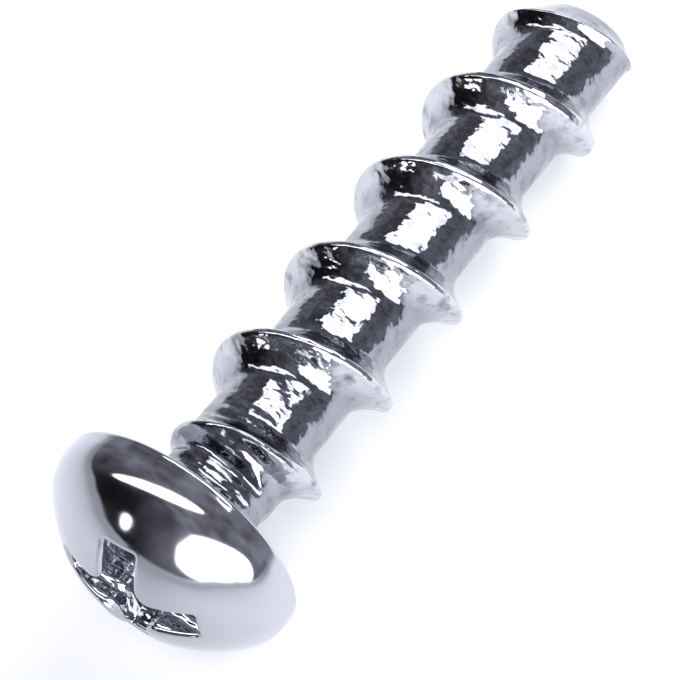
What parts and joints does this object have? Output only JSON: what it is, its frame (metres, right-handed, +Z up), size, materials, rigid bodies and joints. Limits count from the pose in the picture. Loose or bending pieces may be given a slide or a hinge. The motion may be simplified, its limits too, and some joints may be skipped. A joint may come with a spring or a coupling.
{
  "type": "bone screw",
  "caption": "Bone screw: domed head with a cross recess, straight core, coarse right-hand thread and a blunt bevelled tip, lying on its side.",
  "frame": {"origin": "centre of the flat seat under the head, on the screw's own axis", "axes": "+Z up from the table that the screw lies on; +X along the screw from head to tip, level, while the screw's own axis points 5.3 degrees below +X because it rests on its head and on its thread; +Y to the side"},
  "size_m": [0.0189, 0.0064, 0.0064],
  "materials": {
    "bone_screw": "polished stainless steel"
  },
  "bodies": {
    "root": {"bone_screw": "bone_screw"}
  },
  "joints": []
}
